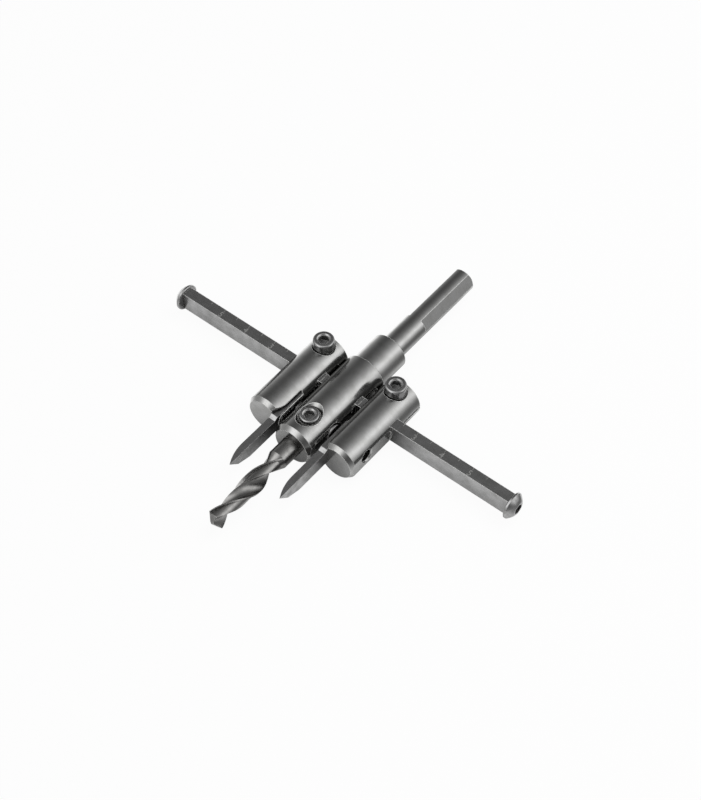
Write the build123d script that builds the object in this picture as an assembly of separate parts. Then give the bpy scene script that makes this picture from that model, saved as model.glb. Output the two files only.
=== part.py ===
from build123d import *
from build123d import SkipClean
from math import cos, degrees, radians, sin, tan
import os

os.makedirs("parts", exist_ok=True)

# Adjustable circle cutter, in millimetres, lying on the underside of its body.
# +Y runs along the tool axis to the end of the shank, +X along the beam, +Z up.
# The origin is on the tool axis, at the shoulder where the shank leaves the neck.

# Clearances between pieces
sliding_gap = 0.05
turning_gap = 0.05
window_back_gap = 0.3
side_gap = 0.4
through = 1.0

# Arbor: shank, neck and body
shank_d = 8.0
shank_length = 37.0
shank_chamfer = 0.5
grip_flat_length = 24.5
grip_flat_depth = 0.5
grip_flat_turn = 57.0
neck_d = 12.0
neck_length = 11.75
neck_chamfer = 0.3
body_d = 14.0
body_length = 34.6
body_rear_chamfer = 0.25
body_nose_chamfer = 1.0
body_nose_chamfer_length = 1.5
body_flat_depth = 0.5
body_flat_length = 31.5

# Beam, on edge through the body
beam_length = 123.0
beam_height = 6.5
beam_thickness = 3.6
beam_behind_nose = 23.4

# Screws at the ends of the beam
end_screw_d = 2.5
end_screw_length = 6.0
end_head_d = 8.4
end_head_height = 2.2
end_head_face_d = 4.0
end_head_slope = 0.8
end_head_shoulder = 1.5
end_socket = 2.0
end_socket_depth = 1.2

# Holders, shown beside the body, the left one at its innermost place
right_holder_out = 0.4
holder_d = 12.8
holder_before_beam = 20.0
holder_behind_beam = 11.8
holder_chamfer = 0.95
holder_chamfer_length = 1.4
holder_rear_chamfer = 0.3
holder_inner_flat_depth = 0.4
holder_outer_flat_depth = 0.5
holder_flat_length = 18.0
slit_width = 0.8

# Screws that close the holders' slits
clamp_screw_d = 4.0
clamp_screw_length = 11.0
clamp_head_d = 6.6
clamp_head_height = 4.0
clamp_socket = 3.0
clamp_socket_depth = 2.2
clamp_screw_behind_beam = 7.8
clamp_seat_cut = 1.1
clamp_seat_margin = 0.3

# Blades in the holders' slots
blade_thickness = 2.3
blade_height = 5.0
blade_shank_height = 5.7
blade_below_axis = 2.0
slot_wall = 0.55
slot_roof = 4.4
slot_roof_round = 10.2
slot_roof_round_length = 5.8
blade_in_slot = 11.6
blade_step_length = 1.2
blade_reach = 21.2
blade_keel_rise = 1.5
blade_keel_length = 8.5
blade_nose_length = 3.6
blade_side_relief = 8.0
blade_side_bulge = 0.55

# Grub screws that hold the blades
blade_screw_d = 4.0
blade_screw_length = 5.5
blade_screw_socket = 2.0
blade_screw_socket_depth = 2.0
blade_screw_from_nose = 7.0
blade_screw_height = 1.0
blade_screw_mouth = 4.8

# Pilot drill
drill_d = 6.4
drill_reach = 34.9
drill_in_bore = 16.4
drill_bore_depth = 17.0
flute_length = 28.7
flute_pitch = 36.5
flute_runout = 6.0
flute_turn = 62.7
web_thickness = 1.3
land_width = 4.1
margin_width = 0.5
land_relief = 0.65
point_angle = 118.0

# Grub screws that hold the drill
drill_screw_d = 6.0
drill_screw_socket = 3.0
drill_screw_socket_depth = 2.0
drill_screw_recess_d = 7.0
drill_screw_recess = 1.4
top_screw_mouth = 1.2
top_screw_from_nose = 8.3
side_screw_from_nose = 11.4
top_screw_below_crest = 0.1
side_screw_stand = 0.5

# Grub screw under the beam
lock_screw_d = 4.0
lock_screw_socket = 2.0
lock_screw_socket_depth = 2.0
lock_screw_recess = 0.4

# Small shared details
screw_edge = 0.3
cutter_r = 5.0

# Places that follow from the sizes above
shoulder_y = -neck_length
nose_y = shoulder_y - body_length
beam_y = nose_y + beam_behind_nose
holder_front_y = beam_y - holder_before_beam
holder_rear_y = beam_y + holder_behind_beam
clamp_y = beam_y + clamp_screw_behind_beam
blade_screw_y = holder_front_y + blade_screw_from_nose
top_screw_y = nose_y + top_screw_from_nose
side_screw_y = nose_y + side_screw_from_nose

shank_r = shank_d / 2
body_r = body_d / 2
holder_r = holder_d / 2
drill_r = drill_d / 2
drill_bore_r = drill_r + sliding_gap
body_flat_x = body_r - body_flat_depth
side_screw_top = body_flat_x + side_screw_stand
holder_inner = holder_r - holder_inner_flat_depth
holder_outer = holder_r - holder_outer_flat_depth
holder_x = side_screw_top + side_gap + holder_inner
slot_inner_x = holder_x - holder_inner + slot_wall
blade_inner_x = slot_inner_x + sliding_gap
blade_outer_x = blade_inner_x + blade_thickness
slot_width = blade_thickness + 2 * sliding_gap
clamp_seat_z = holder_r - clamp_seat_cut


def turned(points):
    """Solid of revolution about the tool axis from (radius, y) points."""
    return revolve(make_face(Polyline(*points, close=True)), Axis.Y)


def block(x0, x1, y0, y1, z0, z1):
    """Box between two opposite corners."""
    centre = ((x0 + x1) / 2, (y0 + y1) / 2, (z0 + z1) / 2)
    return Pos(*centre) * Box(x1 - x0, y1 - y0, z1 - z0)


def rod_up(diameter, z0, z1, x=0.0, y=0.0):
    """Cylinder along Z between two heights."""
    return Pos(x, y, (z0 + z1) / 2) * Cylinder(diameter / 2, z1 - z0)


def rod_across(diameter, x0, x1, y, z=0.0):
    """Cylinder along X between two places."""
    return Pos((x0 + x1) / 2, y, z) * (Rot(0, 90, 0) * Cylinder(diameter / 2, x1 - x0))


def milled_flat(x0, x1, y0, y1):
    """Cut of a side flat that ends in the round of its cutter, at y1."""
    straight = block(x0, x1, y0, y1 - cutter_r, -cutter_r, cutter_r)
    return straight + rod_across(2 * cutter_r, x0, x1, y1 - cutter_r)


def hex_socket(across_flats, depth):
    """Hexagonal recess below z = 0."""
    hexagon = RegularPolygon(across_flats / 2, 6, major_radius=False)
    return extrude(hexagon, -depth)


def grub_screw(diameter, length, socket, socket_depth):
    """Headless screw, with its socket end at z = 0 and its flat point below."""
    r = diameter / 2
    profile = Polyline(
        (0, 0), (r - screw_edge, 0), (r, -screw_edge), (r, -length), (0, -length), close=True,
    )
    body = revolve(make_face(Plane.XZ * profile), Axis.Z)
    return body - hex_socket(socket, socket_depth)


def cap_screw(diameter, length, head_d, head_height, socket, socket_depth):
    """Socket cap screw, with the underside of its head at z = 0."""
    r = diameter / 2
    head_r = head_d / 2
    profile = Polyline(
        (0, head_height), (head_r - screw_edge, head_height), (head_r, head_height - screw_edge),
        (head_r, 0), (r, 0), (r, -length), (0, -length), close=True,
    )
    body = revolve(make_face(Plane.XZ * profile), Axis.Z)
    return body - Pos(0, 0, head_height) * hex_socket(socket, socket_depth)


def beam_window(x0, x1, y_back):
    """Rectangular hole along X that the beam slides or sits in."""
    half_height = beam_height / 2 + sliding_gap
    y_front = beam_y - beam_thickness / 2 - sliding_gap
    return block(x0, x1, y_front, beam_y + beam_thickness / 2 + y_back, -half_height, half_height)


def make_arbor():
    """Shank, neck and body from one bar, with bores, window and flats."""
    neck_r = neck_d / 2
    flats_y = shank_length - grip_flat_length
    arbor = turned([
        (0, nose_y),
        (body_r - body_nose_chamfer, nose_y),
        (body_r, nose_y + body_nose_chamfer_length),
        (body_r, shoulder_y - body_rear_chamfer),
        (body_r - body_rear_chamfer, shoulder_y),
        (neck_r, shoulder_y),
        (neck_r, -neck_chamfer),
        (neck_r - neck_chamfer, 0),
        (shank_r, 0),
        (shank_r, flats_y),
        (0, flats_y),
    ])

    # Flats on both sides of the body, beside the holders
    for side in (-1, 1):
        cut = milled_flat(body_flat_x, body_r + through, nose_y - through, nose_y + body_flat_length)
        arbor -= cut if side > 0 else mirror(cut, about=Plane.YZ)

    # Flat-bottomed bore for the drill, which ends before the beam
    bore_end = nose_y + drill_bore_depth
    arbor -= turned([
        (0, nose_y - through),
        (drill_bore_r, nose_y - through),
        (drill_bore_r, bore_end),
        (0, bore_end),
    ])

    # Window for the beam and the tapped hole of its lock screw
    arbor -= beam_window(-body_r - through, body_r + through, sliding_gap)
    arbor -= rod_up(lock_screw_d + 2 * turning_gap, -body_r - through, 0, y=beam_y)

    # Recessed holes for the three drill screws, the top one with a countersunk mouth
    recess_floor = body_r - drill_screw_recess
    recess_r = drill_screw_recess_d / 2
    hole_d = drill_screw_d + 2 * turning_gap
    mouth = Cone(recess_r, recess_r + top_screw_mouth, top_screw_mouth)
    top_hole = rod_up(hole_d, 0, body_r + through, y=top_screw_y)
    top_recess = rod_up(drill_screw_recess_d, recess_floor, body_r + through, y=top_screw_y)
    top_recess += Pos(0, top_screw_y, body_r - top_screw_mouth / 2) * mouth
    side_hole = rod_across(hole_d, 0, body_r + through, side_screw_y)
    side_recess = rod_across(drill_screw_recess_d, recess_floor, body_r + through, side_screw_y)
    arbor -= top_hole + top_recess
    arbor -= side_hole + side_recess
    arbor -= mirror(side_hole + side_recess, about=Plane.YZ)

    # Rear of the shank, with three flats a third of a turn apart that a drill chuck grips
    rear = turned([
        (0, flats_y),
        (shank_r, flats_y),
        (shank_r, shank_length - shank_chamfer),
        (shank_r - shank_chamfer, shank_length),
        (0, shank_length),
    ])
    flat = block(-shank_r, shank_r, flats_y - through, shank_length + through,
                 shank_r - grip_flat_depth, shank_r + through)
    for step in range(3):
        rear -= Rot(0, grip_flat_turn + 120 * step, 0) * flat

    # The two rounds of the shank stay separate faces, a full one and one between the flats
    with SkipClean():
        return arbor + rear


def make_beam():
    """Flat bar with a tapped hole in each end."""
    bar = Pos(0, beam_y, 0) * Box(beam_length, beam_thickness, beam_height)
    hole_d = end_screw_d + 2 * turning_gap
    hole_end = beam_length / 2 - end_screw_length - through
    for side in (-1, 1):
        hole = rod_across(hole_d, hole_end, beam_length / 2 + through, beam_y)
        bar -= hole if side > 0 else mirror(hole, about=Plane.YZ)
    return bar


def make_end_screw():
    """Right-hand stop screw with a domed head, seated on the end of the beam."""
    r = end_screw_d / 2
    edge = end_head_d / 2
    profile = Polyline(
        (0, end_head_height), (end_head_face_d / 2, end_head_height),
        (edge - end_head_slope, end_head_shoulder), (edge, screw_edge), (edge, 0),
        (r, 0), (r, -end_screw_length), (0, -end_screw_length), close=True,
    )
    screw = revolve(make_face(Plane.XZ * profile), Axis.Z)
    screw -= Pos(0, 0, end_head_height) * hex_socket(end_socket, end_socket_depth)
    return Pos(beam_length / 2, beam_y, 0) * (Rot(0, 90, 0) * screw)


def make_holder():
    """Right-hand holder: round bar with a beam window, a slit and a blade slot."""
    bar = Pos(holder_x, 0, 0) * turned([
        (0, holder_front_y),
        (holder_r - holder_chamfer, holder_front_y),
        (holder_r, holder_front_y + holder_chamfer_length),
        (holder_r, holder_rear_y - holder_rear_chamfer),
        (holder_r - holder_rear_chamfer, holder_rear_y),
        (0, holder_rear_y),
    ])

    # Flats on the inner and the outer side, from the front to the beam
    flat_end = holder_front_y + holder_flat_length
    far = holder_x + holder_r + through
    near = holder_x - holder_r - through
    bar -= milled_flat(holder_x + holder_outer, far, holder_front_y - through, flat_end)
    bar -= milled_flat(near, holder_x - holder_inner, holder_front_y - through, flat_end)

    # Window on the beam, and the slit behind it that lets the bar close on the beam
    bar -= beam_window(near, far, window_back_gap)
    bar -= block(near, far, beam_y, holder_rear_y + through, -slit_width / 2, slit_width / 2)

    # Seat and hole of the clamp screw
    seat_d = clamp_head_d + 2 * clamp_seat_margin
    bar -= rod_up(seat_d, clamp_seat_z, holder_r + through, holder_x, clamp_y)
    bar -= rod_up(clamp_screw_d + 2 * turning_gap, -holder_r - through, holder_r, holder_x, clamp_y)

    # Slot for the blade, which breaks out of the round above a thin inner wall
    slot_floor = -blade_below_axis - sliding_gap
    slot_rear = holder_front_y + blade_in_slot + sliding_gap
    bar -= block(slot_inner_x, slot_inner_x + slot_width, holder_front_y - through, slot_rear,
                 slot_floor, slot_roof)

    # The roof of the slot is rounded off towards the front
    roof_edge_x = holder_x - (holder_r ** 2 - slot_roof ** 2) ** 0.5
    round_y = holder_front_y + slot_roof_round_length
    corner = block(near, holder_x, holder_front_y - through, round_y, slot_roof, holder_r)
    bar -= corner - rod_up(2 * slot_roof_round, slot_roof, holder_r,
                           roof_edge_x + slot_roof_round, round_y)

    # Tapped hole for the blade's grub screw, with a countersunk mouth
    hole_d = blade_screw_d + 2 * turning_gap
    bar -= rod_across(hole_d, slot_inner_x + slot_width / 2, far, blade_screw_y, blade_screw_height)
    mouth_depth = (blade_screw_mouth - hole_d) / 2
    mouth = Cone(hole_d / 2, blade_screw_mouth / 2, mouth_depth)
    mouth_x = holder_x + holder_outer - mouth_depth / 2
    bar -= Pos(mouth_x, blade_screw_y, blade_screw_height) * (Rot(0, 90, 0) * mouth)
    return bar


def make_clamp_screw():
    """Right-hand clamp screw, seated on the spot face of its holder."""
    screw = cap_screw(clamp_screw_d, clamp_screw_length, clamp_head_d, clamp_head_height,
                      clamp_socket, clamp_socket_depth)
    return Pos(holder_x, clamp_y, clamp_seat_z) * screw


def make_blade():
    """Blade in the right-hand holder: a stepped bar, ground to a point on top of its +X side."""
    low = -blade_below_axis
    top = low + blade_height
    rear_y = holder_front_y + blade_in_slot
    point_y = holder_front_y - blade_reach

    # Seen from the side: the bar, its step at the holder and the underside that rises to the point
    side_outline = Polyline(
        (rear_y, low + blade_shank_height),
        (holder_front_y, low + blade_shank_height),
        (holder_front_y - blade_step_length, top),
        (point_y, top),
        (point_y + blade_nose_length, low + blade_keel_rise),
        (point_y + blade_keel_length, low),
        (rear_y, low),
        close=True,
    )
    side_view = extrude(make_face(Plane.YZ * side_outline), slot_inner_x + blade_thickness * 2)

    # Seen from above: the -X side is ground away in an arc towards the point
    inner = blade_inner_x
    outer = blade_outer_x
    relief_y = point_y + blade_side_relief
    chord_middle = Vector((inner + outer) / 2, (relief_y + point_y) / 2)
    bulge = Vector(-blade_side_relief, -blade_thickness).normalized() * blade_side_bulge
    arc_middle = chord_middle + bulge
    plan_outline = [
        Line((outer, point_y), (outer, rear_y)),
        Line((outer, rear_y), (inner, rear_y)),
        Line((inner, rear_y), (inner, relief_y)),
        ThreePointArc((inner, relief_y), (arc_middle.X, arc_middle.Y), (outer, point_y)),
    ]
    plan_view = Pos(0, 0, low - through) * extrude(make_face(plan_outline), blade_shank_height * 2)
    return side_view & plan_view


def make_blade_screw():
    """Right-hand grub screw, with its point against the blade."""
    screw = grub_screw(blade_screw_d, blade_screw_length, blade_screw_socket,
                       blade_screw_socket_depth)
    outer_end = slot_inner_x + slot_width + blade_screw_length
    return Pos(outer_end, blade_screw_y, blade_screw_height) * (Rot(0, 90, 0) * screw)


def flute_section():
    """Round of one flute, its middle along +X: it touches the web and leaves the lands' width."""
    half_turn = (radians(180) - land_width / drill_r) / 2
    web_r = web_thickness / 2
    centre = (drill_r ** 2 - web_r ** 2) / (2 * (drill_r * cos(half_turn) - web_r))
    return Pos(centre, 0) * Circle(centre - web_r)


def relief_section():
    """Ring sector behind the margin of the land that follows a flute, up to the next flute."""
    land_turn = degrees(land_width / drill_r)
    margin_turn = degrees(margin_width / drill_r)
    start = 90 - land_turn / 2 + margin_turn
    end = 90 + land_turn
    far = 3 * drill_r
    ends = [(far * cos(radians(turn)), far * sin(radians(turn))) for turn in (start, end)]
    wedge = make_face(Polyline((0, 0), *ends, close=True))
    return (Circle(drill_r + through) - Circle(drill_r - land_relief)) & wedge


def make_drill():
    """Two-flute right-hand twist drill with relieved lands, a round shank and a ground point."""
    point_y = nose_y - drill_reach
    rear_y = nose_y + drill_in_bore
    flute_rear_y = point_y + flute_length
    drill = turned([
        (0, point_y),
        (drill_r, point_y + drill_r / tan(radians(point_angle / 2))),
        (drill_r, rear_y - screw_edge),
        (drill_r - screw_edge, rear_y),
        (0, rear_y),
    ])

    # Flutes and reliefs, half a turn apart, that run out on a cone
    runout_y = flute_rear_y - flute_runout
    slope = flute_runout / (drill_r - web_thickness / 2)
    outside = 2 * drill_r
    runout = turned([
        (0, runout_y),
        (web_thickness / 2, runout_y),
        (drill_r + outside, flute_rear_y + slope * outside),
        (0, flute_rear_y + slope * outside),
    ])
    twist = 360 * flute_length / flute_pitch
    for half in (0, 180):
        for section in (flute_section(), relief_section()):
            turned_section = Rot(0, 0, flute_turn - 90 + half) * section
            void = Solid.extrude_linear_with_rotation(
                turned_section.face(), (0, 0, 0), (0, 0, flute_length), twist)
            drill -= Pos(0, point_y, 0) * (Rot(-90, 0, 0) * void) - runout
    return drill


def make_top_drill_screw():
    """Upper drill screw, just below the crest of the body."""
    top = body_r - top_screw_below_crest
    screw = grub_screw(drill_screw_d, top - drill_bore_r, drill_screw_socket,
                       drill_screw_socket_depth)
    return Pos(0, top_screw_y, top) * screw


def make_side_drill_screw():
    """Right-hand drill screw, which stands a little out of the body's flat."""
    screw = grub_screw(drill_screw_d, side_screw_top - drill_bore_r, drill_screw_socket,
                       drill_screw_socket_depth)
    return Pos(side_screw_top, side_screw_y, 0) * (Rot(0, 90, 0) * screw)


def make_lock_screw():
    """Grub screw under the body, with its point against the beam."""
    outer_end = -body_r + lock_screw_recess
    length = -beam_height / 2 - outer_end
    screw = grub_screw(lock_screw_d, length, lock_screw_socket, lock_screw_socket_depth)
    return Pos(0, beam_y, outer_end) * (Rot(180, 0, 0) * screw)


blade = make_blade()
right_place = Pos(right_holder_out, 0, 0)
pieces = {
    "arbor": make_arbor(),
    "beam": make_beam(),
    "pilot_drill": make_drill(),
    "top_drill_screw": make_top_drill_screw(),
    "beam_lock_screw": make_lock_screw(),
    "right_blade": right_place * blade,
    "left_blade": Pos(-blade_inner_x - blade_outer_x, 0, 0) * blade,
}

# Pieces that are the same on both sides of the tool axis, those on the body and on the holders
on_body = {
    "end_screw": make_end_screw(),
    "drill_screw": make_side_drill_screw(),
}
on_holder = {
    "holder": make_holder(),
    "clamp_screw": make_clamp_screw(),
    "blade_screw": make_blade_screw(),
}
for name, shape in (on_body | on_holder).items():
    pieces["right_" + name] = right_place * shape if name in on_holder else shape
    pieces["left_" + name] = mirror(shape, about=Plane.YZ)

for name, shape in pieces.items():
    export_step(shape, "parts/" + name + ".step")
    print(name, round(shape.volume, 2), shape.is_valid)
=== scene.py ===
import bpy
from math import cos, pi, radians, sin, sqrt
from mathutils import Matrix, Vector


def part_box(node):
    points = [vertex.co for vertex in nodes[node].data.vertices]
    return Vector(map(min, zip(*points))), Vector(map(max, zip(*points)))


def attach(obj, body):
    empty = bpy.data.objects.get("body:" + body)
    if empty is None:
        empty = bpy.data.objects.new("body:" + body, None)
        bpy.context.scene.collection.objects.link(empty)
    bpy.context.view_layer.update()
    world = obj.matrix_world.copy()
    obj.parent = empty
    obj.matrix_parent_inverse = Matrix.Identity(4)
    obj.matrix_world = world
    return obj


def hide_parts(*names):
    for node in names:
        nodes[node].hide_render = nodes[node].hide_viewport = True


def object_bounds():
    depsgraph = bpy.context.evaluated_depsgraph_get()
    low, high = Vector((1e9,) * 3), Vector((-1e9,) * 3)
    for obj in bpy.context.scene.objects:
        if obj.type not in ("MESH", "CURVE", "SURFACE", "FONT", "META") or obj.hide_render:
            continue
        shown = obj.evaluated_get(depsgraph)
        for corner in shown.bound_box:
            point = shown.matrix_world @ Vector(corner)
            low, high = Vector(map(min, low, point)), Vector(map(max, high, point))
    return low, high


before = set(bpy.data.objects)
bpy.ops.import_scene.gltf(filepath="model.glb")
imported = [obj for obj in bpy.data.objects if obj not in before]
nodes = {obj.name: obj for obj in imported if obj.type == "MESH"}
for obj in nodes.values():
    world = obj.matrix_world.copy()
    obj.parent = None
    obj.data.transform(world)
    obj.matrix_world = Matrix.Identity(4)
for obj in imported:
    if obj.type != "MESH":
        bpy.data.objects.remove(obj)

cadBounds = [list(corner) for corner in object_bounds()]
floorLevel = cadBounds[0][2]
beamLow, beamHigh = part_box("beam")
beamMiddle = (beamLow + beamHigh) / 2
mm = 0.001
print("frame loaded:", len(nodes), "nodes")


def srgb(hexText):
    # colours are written as on screen, the shader wants them linear
    channels = [int(hexText[i:i + 2], 16) / 255 for i in (1, 3, 5)]
    linear = [c / 12.92 if c <= 0.04045 else ((c + 0.055) / 1.055) ** 2.4 for c in channels]
    return (*linear, 1.0)


def grey(tone):
    # a linear tone, which may be brighter than white
    return (tone, tone, tone, 1.0)


def addNode(tree, kind, settings=None, inputs=None, links=None):
    # one node with its settings, its input values and what feeds its inputs
    node = tree.nodes.new(kind)
    for name, value in (settings or {}).items():
        setattr(node, name, value)
    for name, value in (inputs or {}).items():
        node.inputs[name].default_value = value
    for name, socket in (links or {}).items():
        tree.links.new(socket, node.inputs[name])
    return node


def newMaterial(name):
    material = bpy.data.materials.new(name)
    material.use_nodes = True
    material.node_tree.nodes.clear()
    return material, material.node_tree


def placeCopy(model, place, turn=(0, 0, 0)):
    # a copy with a mesh of its own, which takes up its place and turn
    bpy.ops.object.select_all(action="DESELECT")
    model.select_set(True)
    bpy.context.view_layer.objects.active = model
    bpy.ops.object.duplicate(linked=False)
    copy = bpy.context.object
    copy.location, copy.rotation_euler = place, turn
    bpy.ops.object.transform_apply(location=True, rotation=True, scale=True)
    return copy


# camera

cameraSet = {
    "azimuth": 38.879, "elevation": 52.164, "roll": 0.092,  # degrees, as fitted to the photo
    "distance": 0.539626, "lens": 82.07, "sensor": 36.0, "clipStart": 0.01,
    "aimRight": -0.0024287, "aimUp": 0.00098086,  # frame centre from the beam's middle, metres
}


def makeCamera(s):
    azimuth, elevation, roll = (radians(s[name]) for name in ("azimuth", "elevation", "roll"))
    back = Vector((sin(azimuth) * cos(elevation), -cos(azimuth) * cos(elevation), sin(elevation)))
    right = Vector((cos(azimuth), sin(azimuth), 0))
    up = back.cross(right)
    turnedRight = cos(roll) * right + sin(roll) * up
    turnedUp = cos(roll) * up - sin(roll) * right
    place = beamMiddle + back * s["distance"] - turnedRight * s["aimRight"] - turnedUp * s["aimUp"]
    data = bpy.data.cameras.new("camera")
    data.sensor_fit = "VERTICAL"
    data.sensor_height = s["sensor"]
    data.lens = s["lens"]
    data.clip_start = s["clipStart"]
    camera = bpy.data.objects.new("camera", data)
    bpy.context.scene.collection.objects.link(camera)
    axes = Matrix((turnedRight, turnedUp, back)).transposed().to_4x4()
    camera.matrix_world = Matrix.Translation(place) @ axes
    bpy.context.scene.camera = camera


# floor: white to the camera apart from a faint shadow, clear to steel, which sees the studio's
# tones through it, with painted shade darkening it close to the part

floorSet = {
    "size": 3.0, "colour": "#E6E6E6",
    "whiteShare": 0.95,    # the rest takes the shadow
    "darkReach": 0.009,    # metres round the part
    "darkPower": 1.6, "darkSamples": 8,
}


def makeFloor(s):
    bpy.ops.object.select_all(action="DESELECT")
    bpy.ops.mesh.primitive_plane_add(size=s["size"], location=(0, 0, floorLevel))
    floor = bpy.context.object
    floor.name = "studio_floor"
    material, tree = newMaterial("floorPaper")
    path = addNode(tree, "ShaderNodeLightPath")
    paper = addNode(tree, "ShaderNodeBsdfDiffuse", inputs={"Color": srgb(s["colour"])})
    white = addNode(tree, "ShaderNodeEmission", inputs={"Color": grey(1.0), "Strength": 1.0})
    share = addNode(tree, "ShaderNodeMath", {"operation": "MULTIPLY"}, {1: s["whiteShare"]},
                    {0: path.outputs["Is Camera Ray"]})
    seen = addNode(tree, "ShaderNodeMixShader", links={
        0: share.outputs[0], 1: paper.outputs[0], 2: white.outputs[0]})

    # painted shade: what steel sees through the floor darkens close to the part
    near = addNode(tree, "ShaderNodeAmbientOcclusion", {"samples": s["darkSamples"]},
                   {"Distance": s["darkReach"]})
    dark = addNode(tree, "ShaderNodeMath", {"operation": "POWER"}, {1: s["darkPower"]},
                   {0: near.outputs["AO"]})
    mirrored = addNode(tree, "ShaderNodeBsdfTransparent", links={"Color": dark.outputs[0]})
    mix = addNode(tree, "ShaderNodeMixShader", links={
        0: path.outputs["Is Glossy Ray"], 1: seen.outputs[0], 2: mirrored.outputs[0]})
    addNode(tree, "ShaderNodeOutputMaterial", links={"Surface": mix.outputs[0]})
    floor.data.materials.append(material)


# light: grey tones of the studio all round the tool, as (degrees from straight up towards +X,
# tone), seen by steel that faces the shank end and by steel that faces the drill end

lightSet = {
    "rearTones": [
        (-180, 0.85), (-140, 1.75), (-115, 0.95), (-92, 0.30), (-60, 0.08), (-30, 0.065), (2, 0.165),
        (28, 0.44), (52, 1.03), (66, 0.72), (82, 0.36), (100, 0.11), (135, 0.13), (158, 0.80),
    ],
    "frontTones": [
        (-180, 0.46), (-150, 0.52), (-130, 0.36), (-95, 0.26), (-66, 0.26), (-46, 0.50), (-28, 1.15),
        (-8, 1.20), (14, 0.36), (36, 0.12), (60, 0.06), (100, 0.12), (150, 0.80),
    ],
    "rearAt": 0.40, "frontAt": -0.45,  # Y of a ray's direction from which it sees one ring alone
    "gapBounces": 1.5, "gapShade": 0.25,  # more bounces than this are light between two pieces
    "keyDirection": (0.3, 0.2, 0.93), "keyDistance": 0.60, "keySize": 0.42, "keyPower": 2.0,
}


def addTones(tree, tones, factor):
    # a ring of grey tones, closed where it starts
    first = tones[0][1]
    ramp = addNode(tree, "ShaderNodeValToRGB", links={0: factor})
    ramp.color_ramp.interpolation = "B_SPLINE"
    stops = ramp.color_ramp.elements
    stops[0].color = grey(first)
    stops[1].color = grey(first)
    for angle, tone in tones[1:]:
        stops.new((angle + 180) / 360).color = grey(tone)
    return ramp.outputs[0]


def studioTone(tree, s, direction):
    # what a reflected ray sees: one ring of tones towards the shank end, one towards the drill
    parts = addNode(tree, "ShaderNodeSeparateXYZ", links={0: direction})
    angle = addNode(tree, "ShaderNodeMath", {"operation": "ARCTAN2"}, links={
        0: parts.outputs["X"], 1: parts.outputs["Z"]})
    turn = addNode(tree, "ShaderNodeMapRange", inputs={1: -pi, 2: pi}, links={0: angle.outputs[0]})
    rear = addTones(tree, s["rearTones"], turn.outputs[0])
    front = addTones(tree, s["frontTones"], turn.outputs[0])
    side = addNode(tree, "ShaderNodeMapRange", {"interpolation_type": "SMOOTHSTEP"},
                   {1: s["frontAt"], 2: s["rearAt"]}, {0: parts.outputs["Y"]})
    tones = addNode(tree, "ShaderNodeMix", {"data_type": "RGBA"}, links={
        0: side.outputs[0], 6: front, 7: rear})
    path = addNode(tree, "ShaderNodeLightPath")
    again = addNode(tree, "ShaderNodeMath", {"operation": "GREATER_THAN"}, {1: s["gapBounces"]},
                    {0: path.outputs["Glossy Depth"]})
    level = addNode(tree, "ShaderNodeMapRange", inputs={3: 1.0, 4: s["gapShade"]},
                    links={0: again.outputs[0]})
    shaded = addNode(tree, "ShaderNodeVectorMath", {"operation": "SCALE"}, links={
        0: tones.outputs[2], "Scale": level.outputs[0]})
    return shaded.outputs[0]


def makeLight(s):
    world = bpy.data.worlds.new("studio")
    world.use_nodes = True
    tree = world.node_tree
    tree.nodes.clear()
    place = addNode(tree, "ShaderNodeTexCoord")
    path = addNode(tree, "ShaderNodeLightPath")
    dome = addNode(tree, "ShaderNodeBackground", links={
        "Color": studioTone(tree, s, place.outputs["Generated"])})
    backdrop = addNode(tree, "ShaderNodeBackground", inputs={"Color": grey(1.0), "Strength": 1.0})
    mix = addNode(tree, "ShaderNodeMixShader", links={
        0: path.outputs["Is Camera Ray"], 1: dome.outputs[0], 2: backdrop.outputs[0]})
    addNode(tree, "ShaderNodeOutputWorld", links={"Surface": mix.outputs[0]})
    bpy.context.scene.world = world

    direction = Vector(s["keyDirection"]).normalized()
    bpy.ops.object.light_add(type="AREA", location=beamMiddle + direction * s["keyDistance"])
    key = bpy.context.object
    key.name = "key_softbox"
    key.data.size = s["keySize"]
    key.data.energy = s["keyPower"]
    key.visible_glossy = False
    key.rotation_euler = direction.to_track_quat("Z", "Y").to_euler()


makeCamera(cameraSet)
makeFloor(floorSet)
makeLight(lightSet)
bpy.context.scene.view_settings.view_transform = "Standard"
print("camera and studio ready")


# steel finishes

# what all the steels share: the part of each noise that is spread from end to end, and how far
# the rounded normal leans from its face, as a cosine, where the painted edge highlight starts and
# where it is full
steelSet = {
    "markDetail": 2.0, "grainDetail": 1.0, "blotchDetail": 3.0,
    "dullFrom": 0.38, "dullTo": 0.68, "speckFrom": 0.8, "speckTo": 1.2,
    "glossFrom": 0.3, "glossTo": 0.7, "highlightFrom": 0.995, "highlightTo": 0.90,
    "shadeSamples": 6, "edgeSamples": 6,
}


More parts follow.
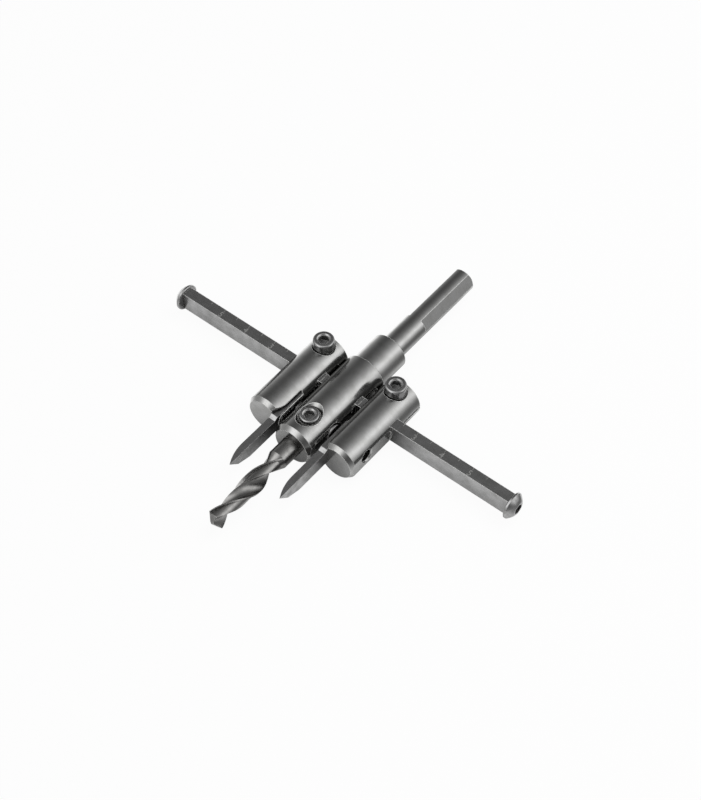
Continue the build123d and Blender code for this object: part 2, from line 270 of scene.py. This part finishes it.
def steelFinish(name, ownSet):
    # tool marks as noise stretched along the way the steel was cut, in the height and the specks;
    # blotches of handling and oil; painted shade in sockets, slots and inner corners; painted
    # highlights on the edges
    s = steelSet | ownSet
    material, tree = newMaterial(name)
    place = addNode(tree, "ShaderNodeTexCoord").outputs["Object"]
    cuts = addNode(tree, "ShaderNodeMapping", inputs={
        "Scale": [1 / (pitch * mm) for pitch in s["marks"]]}, links={"Vector": place})
    marks = addNode(tree, "ShaderNodeTexNoise", inputs={
        "Scale": 1.0, "Detail": s["markDetail"]}, links={"Vector": cuts.outputs[0]})
    grain = addNode(tree, "ShaderNodeTexNoise", inputs={
        "Scale": 1 / (s["grain"] * mm), "Detail": s["grainDetail"]}, links={"Vector": place})
    blotch = addNode(tree, "ShaderNodeTexNoise", inputs={
        "Scale": 1 / (s["blotch"] * mm), "Detail": s["blotchDetail"]}, links={"Vector": place})
    height = addNode(tree, "ShaderNodeMath", {"operation": "ADD"}, links={
        0: marks.outputs[0], 1: grain.outputs[0]})

    dulled = addNode(tree, "ShaderNodeMapRange", inputs={1: s["dullFrom"], 2: s["dullTo"]},
                     links={0: blotch.outputs[0]})
    colour = addNode(tree, "ShaderNodeMix", {"data_type": "RGBA"}, {
        6: srgb(s["colour"]), 7: srgb(s["dull"])}, {0: dulled.outputs[0]})
    speck = addNode(tree, "ShaderNodeMapRange", inputs={
        1: s["speckFrom"], 2: s["speckTo"], 3: 1 - s["speck"], 4: 1.0},
        links={0: height.outputs[0]})
    speckled = addNode(tree, "ShaderNodeVectorMath", {"operation": "SCALE"}, links={
        0: colour.outputs[2], "Scale": speck.outputs[0]})
    # painted shade: the colour darkens where ambient occlusion finds sockets, slots and inner
    # corners close by
    near = addNode(tree, "ShaderNodeAmbientOcclusion", {"samples": s["shadeSamples"]},
                   {"Distance": s["shadeReach"] * mm})
    openness = addNode(tree, "ShaderNodeMapRange", inputs={1: s["shadeFrom"], 2: s["shadeTo"]},
                       links={0: near.outputs["AO"]})
    shadedColour = addNode(tree, "ShaderNodeMix", {"data_type": "RGBA"}, {6: srgb(s["shadeColour"])}, {
        0: openness.outputs[0], 7: speckled.outputs[0]})

    gloss = addNode(tree, "ShaderNodeMapRange", inputs={
        1: s["glossFrom"], 2: s["glossTo"],
        3: s["roughness"] - s["spread"], 4: s["roughness"] + s["spread"]},
        links={0: blotch.outputs[0]})
    edge = addNode(tree, "ShaderNodeBevel", {"samples": s["edgeSamples"]},
                   {"Radius": s["edge"] * mm})

    # painted highlights on the edges: where the rounded normal leaves the face's own, the colour
    # turns pale and less metallic
    face = addNode(tree, "ShaderNodeNewGeometry")
    lean = addNode(tree, "ShaderNodeVectorMath", {"operation": "DOT_PRODUCT"}, links={
        0: edge.outputs[0], 1: face.outputs["Normal"]})
    highlightMask = addNode(tree, "ShaderNodeMapRange", inputs={
        1: s["highlightFrom"], 2: s["highlightTo"], 3: 0.0, 4: s["edgeHighlight"]}, links={0: lean.outputs["Value"]})
    bright = addNode(tree, "ShaderNodeMix", {"data_type": "RGBA"}, {7: srgb(s["highlightColour"])}, {
        0: highlightMask.outputs[0], 6: shadedColour.outputs[2]})
    metal = addNode(tree, "ShaderNodeMath", {"operation": "SUBTRACT"}, {0: 1.0},
                    {1: highlightMask.outputs[0]})
    bump = addNode(tree, "ShaderNodeBump", inputs={"Distance": s["depth"] * mm},
                   links={"Height": height.outputs[0], "Normal": edge.outputs[0]})
    shader = addNode(tree, "ShaderNodeBsdfPrincipled", links={
        "Base Color": bright.outputs[2], "Metallic": metal.outputs[0],
        "Roughness": gloss.outputs[0], "Normal": bump.outputs[0]})
    addNode(tree, "ShaderNodeOutputMaterial", links={"Surface": shader.outputs[0]})
    return material


# every length is in millimetres; marks are the lengths of a tool mark along X, Y and Z

# mild steel, fine turned: satin, with rings round the tool axis; the real feed of 0.1 mm is
# drawn three times coarser, so that it shows
turnedSteel = steelFinish("turnedSteel", {
    "colour": "#E6E6E5", "dull": "#D8D8D6", "speck": 0.06, "grain": 0.25, "blotch": 3.0,
    "marks": (40, 0.3, 40), "depth": 0.003, "roughness": 0.18, "spread": 0.012, "edge": 0.3,
    "shadeColour": "#4A4845", "shadeReach": 1.0, "shadeFrom": 0.2, "shadeTo": 0.7,
    "edgeHighlight": 1.0, "highlightColour": "#FAFAF8",
})

# mild steel bar, ground along its length: long fine scratches
groundSteel = steelFinish("groundSteel", {
    "colour": "#F6F6F6", "dull": "#D8D8D7", "speck": 0.12, "grain": 0.3, "blotch": 3.5,
    "marks": (8, 0.25, 0.25), "depth": 0.003, "roughness": 0.24, "spread": 0.03, "edge": 0.24,
    "shadeColour": "#5A5855", "shadeReach": 0.8, "shadeFrom": 0.2, "shadeTo": 0.6,
    "edgeHighlight": 1.0, "highlightColour": "#FFFFFD",
})

# high-speed steel, hardened and ground to a point: duller, scratched along the blade
bladeSteel = steelFinish("bladeSteel", {
    "colour": "#E2E2E2", "dull": "#C8C8C7", "speck": 0.14, "grain": 0.3, "blotch": 2.0,
    "marks": (0.25, 6, 0.25), "depth": 0.004, "roughness": 0.30, "spread": 0.04, "edge": 0.12,
    "shadeColour": "#4A4846", "shadeReach": 0.6, "shadeFrom": 0.2, "shadeTo": 0.6,
    "edgeHighlight": 0.5, "highlightColour": "#F4F4F2",
})

# high-speed steel drill, flutes ground and left with a warm grey bloom
drillSteel = steelFinish("drillSteel", {
    "colour": "#D4D3D1", "dull": "#BDBCBA", "speck": 0.14, "grain": 0.3, "blotch": 2.0,
    "marks": (0.3, 3, 0.3), "depth": 0.004, "roughness": 0.28, "spread": 0.05, "edge": 0.12,
    "shadeColour": "#4A4846", "shadeReach": 1.2, "shadeFrom": 0.3, "shadeTo": 0.8,
    "edgeHighlight": 0.4, "highlightColour": "#D8D7D5",
})

# alloy steel screws, pressed and tumbled: pale and mottled, with painted highlights on their rims
# and painted shade in the sockets
screwSteel = steelFinish("screwSteel", {
    "colour": "#EAEAEA", "dull": "#CCCCCB", "speck": 0.18, "grain": 0.25, "blotch": 1.2,
    "marks": (1.5, 1.5, 0.4), "depth": 0.005, "roughness": 0.26, "spread": 0.06, "edge": 0.15,
    "shadeColour": "#343230", "shadeReach": 1.6, "shadeFrom": 0.3, "shadeTo": 0.75,
    "edgeHighlight": 0.5, "highlightColour": "#ECEBE9",
})

finishes = {"arbor": turnedSteel, "beam": groundSteel, "pilot_drill": drillSteel,
            "top_drill_screw": screwSteel, "beam_lock_screw": screwSteel}
for side in ("left_", "right_"):
    finishes[side + "holder"] = turnedSteel
    finishes[side + "blade"] = bladeSteel
    for screw in ("end_screw", "clamp_screw", "blade_screw", "drill_screw"):
        finishes[side + screw] = screwSteel
for name, node in nodes.items():
    node.data.materials.clear()
    node.data.materials.append(finishes[name])
print("finishes ready")


# screws with rounded rims, domes and countersunk hex sockets, in place of the solids' plain heads

# what all the screws share; footCosine tells a socket's foot from its sides
screwSet = {"sides": 48, "across": 3.0, "smoothBelow": 28, "footCosine": -0.9}

# "rings" are (radius, height over the solid's outer end) from the shank to the socket's mouth, mm
buttonSet = {
    "rings": [
        (1.25, -2.2), (3.95, -2.2), (4.2, -1.98), (4.2, -1.45), (4.05, -1.25), (3.6, -0.78),
        (3.1, -0.32), (2.6, 0.05), (2.2, 0.25), (1.85, 0.35),
    ],
    "depth": 1.3, "cone": 0.3,
}
capSet = {
    "rings": [
        (2.0, -4.0), (3.2, -4.0), (3.3, -3.9), (3.3, -0.6), (3.254, -0.37), (3.124, -0.176),
        (2.93, -0.046), (2.7, 0.0), (2.1, 0.0), (1.78, -0.3),
    ],
    "depth": 2.0, "cone": 0.5,
}
grubSet = {
    "rings": [
        (3.0, -0.5), (2.962, -0.309), (2.854, -0.146), (2.691, -0.038), (2.5, 0.0), (2.1, 0.0),
        (1.78, -0.3),
    ],
    "depth": 1.9, "cone": 0.4,
}


def cutSocket(s, screw, mouth):
    # hexagonal cutter, centred on the mouth, with a cone at its foot as a drilled socket has
    bpy.ops.object.select_all(action="DESELECT")
    bpy.ops.mesh.primitive_cylinder_add(
        vertices=6, radius=s["across"] / sqrt(3) * mm, depth=2 * s["depth"] * mm,
        location=(0, 0, mouth))
    cutter = bpy.context.object
    bpy.ops.object.transform_apply(location=True, rotation=True, scale=True)
    bpy.ops.object.mode_set(mode="EDIT")
    bpy.ops.mesh.select_all(action="DESELECT")
    bpy.ops.object.mode_set(mode="OBJECT")
    for face in cutter.data.polygons:
        face.select = face.normal.z < s["footCosine"]
    bpy.ops.object.mode_set(mode="EDIT")
    bpy.ops.mesh.poke(offset=s["cone"] * mm)
    bpy.ops.object.mode_set(mode="OBJECT")

    cut = screw.modifiers.new("socket", "BOOLEAN")
    cut.operation = "DIFFERENCE"
    cut.object = cutter
    bpy.ops.object.select_all(action="DESELECT")
    screw.select_set(True)
    bpy.context.view_layer.objects.active = screw
    bpy.ops.object.modifier_apply(modifier="socket")
    bpy.data.objects.remove(cutter)


def solidLength(node, axis):
    low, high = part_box(node)
    return abs((high - low).dot(axis))


def modelScrew(ownSet, node, axis):
    # as long as its solid and upright, with the solid's outer end at the origin: one circle
    # drawn out ring by ring from the shank's tip to the socket's mouth
    s = screwSet | ownSet
    radius, height = s["rings"][0][0], -solidLength(node, axis) / mm
    bpy.ops.object.select_all(action="DESELECT")
    bpy.ops.mesh.primitive_circle_add(
        vertices=s["sides"], radius=radius * mm, fill_type="NGON", location=(0, 0, height * mm))
    screw = bpy.context.object
    bpy.ops.object.transform_apply(location=True, rotation=True, scale=True)
    bpy.ops.object.mode_set(mode="EDIT")
    bpy.ops.mesh.select_all(action="SELECT")
    for nextRadius, nextHeight in s["rings"]:
        step, growth = (nextHeight - height) * mm, nextRadius / radius
        bpy.ops.mesh.extrude_region_move(TRANSFORM_OT_translate={"value": (0, 0, step)})
        bpy.ops.transform.resize(value=(growth, growth, 1), center_override=(0, 0, 0))
        radius, height = nextRadius, nextHeight
    bpy.ops.mesh.select_all(action="SELECT")
    bpy.ops.mesh.normals_make_consistent(inside=False)
    bpy.ops.object.mode_set(mode="OBJECT")
    cutSocket(s, screw, height * mm)
    bpy.ops.object.shade_smooth_by_angle(angle=radians(s["smoothBelow"]))
    screw.data.materials.clear()
    screw.data.materials.append(screwSteel)
    return screw


def placeScrew(model, name, node, body, axis):
    # a copy of the model, with its origin in the middle of its solid's outer end
    low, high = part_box(node)
    outerEnd = (low + high) / 2 + axis * solidLength(node, axis) / 2
    screw = placeCopy(model, outerEnd, axis.to_track_quat("Z", "Y").to_euler())
    screw.name = name
    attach(screw, body)
    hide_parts(node)


up, left, right = Vector((0, 0, 1)), Vector((-1, 0, 0)), Vector((1, 0, 0))
bpy.context.scene.tool_settings.mesh_select_mode = (False, False, True)
topGrub = modelScrew(grubSet, "top_drill_screw", up)
sideGrub = modelScrew(grubSet, "right_drill_screw", right)
cap = modelScrew(capSet, "right_clamp_screw", up)
button = modelScrew(buttonSet, "right_end_screw", right)
placeScrew(topGrub, "top_grub_screw", "top_drill_screw", "top_drill_screw", up)
for side, outwards in (("left", left), ("right", right)):
    placeScrew(button, side + "_button_screw", side + "_end_screw", "arbor", outwards)
    placeScrew(cap, side + "_cap_screw", side + "_clamp_screw", side + "_clamp_screw", up)
    placeScrew(sideGrub, side + "_grub_screw", side + "_drill_screw", side + "_drill_screw",
               outwards)
for model in (topGrub, sideGrub, cap, button):
    bpy.data.objects.remove(model)
print("screws ready")


# scale on the beam, in millimetres of cutting radius

scaleSet = {
    "farthest": 55, "step": 5,  # last mark, and from mark to mark
    "spacing": 10,              # first number, and from number to number
    "zero": -2.875,             # from a radius to its mark, which is read at the holder's inner side
    "markLength": 1.05, "markWidth": 0.16, "rise": 0.012,
    "brokenEdge": 0.4,          # of the rise
    "numberHeight": 2.0, "numberGap": 0.2,
    "figureHeight": 0.7,        # of the font's size
    "curveSteps": 3,
}

# laser-etched lines: a fine matt oxide, paler than the ground face round it
etchedSet = {
    "burnt": "#8C8C8A", "pale": "#B6B6B4", "grain": 0.2, "detail": 2.0,
    "metallic": 0.4, "roughness": 0.6,
}


def etchedLines(s):
    material, tree = newMaterial("etchedLines")
    place = addNode(tree, "ShaderNodeTexCoord")
    burn = addNode(tree, "ShaderNodeTexNoise", inputs={
        "Scale": 1 / (s["grain"] * mm), "Detail": s["detail"]},
        links={"Vector": place.outputs["Object"]})
    colour = addNode(tree, "ShaderNodeMix", {"data_type": "RGBA"}, {
        6: srgb(s["burnt"]), 7: srgb(s["pale"])}, {0: burn.outputs[0]})
    shader = addNode(tree, "ShaderNodeBsdfPrincipled", inputs={
        "Metallic": s["metallic"], "Roughness": s["roughness"]},
        links={"Base Color": colour.outputs[2]})
    addNode(tree, "ShaderNodeOutputMaterial", links={"Surface": shader.outputs[0]})
    return material


def modelMark(s):
    # one line from the far edge of the beam's top, at the tool axis, with its edges broken
    width, length, rise = (s[name] * mm for name in ("markWidth", "markLength", "rise"))
    bpy.ops.object.select_all(action="DESELECT")
    bpy.ops.mesh.primitive_cube_add(size=1, location=(0, beamHigh.y - length / 2, beamHigh.z),
                                    scale=(width, length, 2 * rise))
    mark = bpy.context.object
    bpy.ops.object.transform_apply(location=True, rotation=True, scale=True)
    bpy.ops.object.mode_set(mode="EDIT")
    bpy.ops.mesh.select_all(action="SELECT")
    bpy.ops.mesh.bevel(offset=rise * s["brokenEdge"], segments=1)
    bpy.ops.object.mode_set(mode="OBJECT")
    return mark


def addNumber(s, x, number):
    # upright below its mark, as read with the drill towards the reader
    height = s["numberHeight"] * mm
    y = beamHigh.y - (s["markLength"] + s["numberGap"]) * mm - height
    bpy.ops.object.select_all(action="DESELECT")
    bpy.ops.object.text_add(location=(x, y, beamHigh.z))
    figure = bpy.context.object
    figure.data.body = str(number)
    figure.data.size = height / s["figureHeight"]
    figure.data.align_x = "CENTER"
    figure.data.extrude = s["rise"] * mm
    figure.data.resolution_u = s["curveSteps"]
    bpy.ops.object.convert(target="MESH")
    bpy.ops.object.transform_apply(location=True, rotation=True, scale=True)
    return bpy.context.object


def makeScale(s, lines):
    mark = modelMark(s)
    for side, sign in (("left", -1), ("right", 1)):
        parts = []
        for radius in range(s["spacing"], s["farthest"] + 1, s["step"]):
            x = sign * (radius + s["zero"]) * mm
            parts.append(placeCopy(mark, (x, 0, 0)))
            if radius % s["spacing"] == 0:
                parts.append(addNumber(s, x, radius // s["spacing"]))
        bpy.ops.object.select_all(action="DESELECT")
        for part in parts:
            part.select_set(True)
        bpy.context.view_layer.objects.active = parts[0]
        bpy.ops.object.join()
        scale = bpy.context.object
        scale.name = side + "_scale"
        scale.data.materials.clear()
        scale.data.materials.append(lines)
        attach(scale, "arbor")
    bpy.data.objects.remove(mark)


makeScale(scaleSet, etchedLines(etchedSet))
print("scale ready")
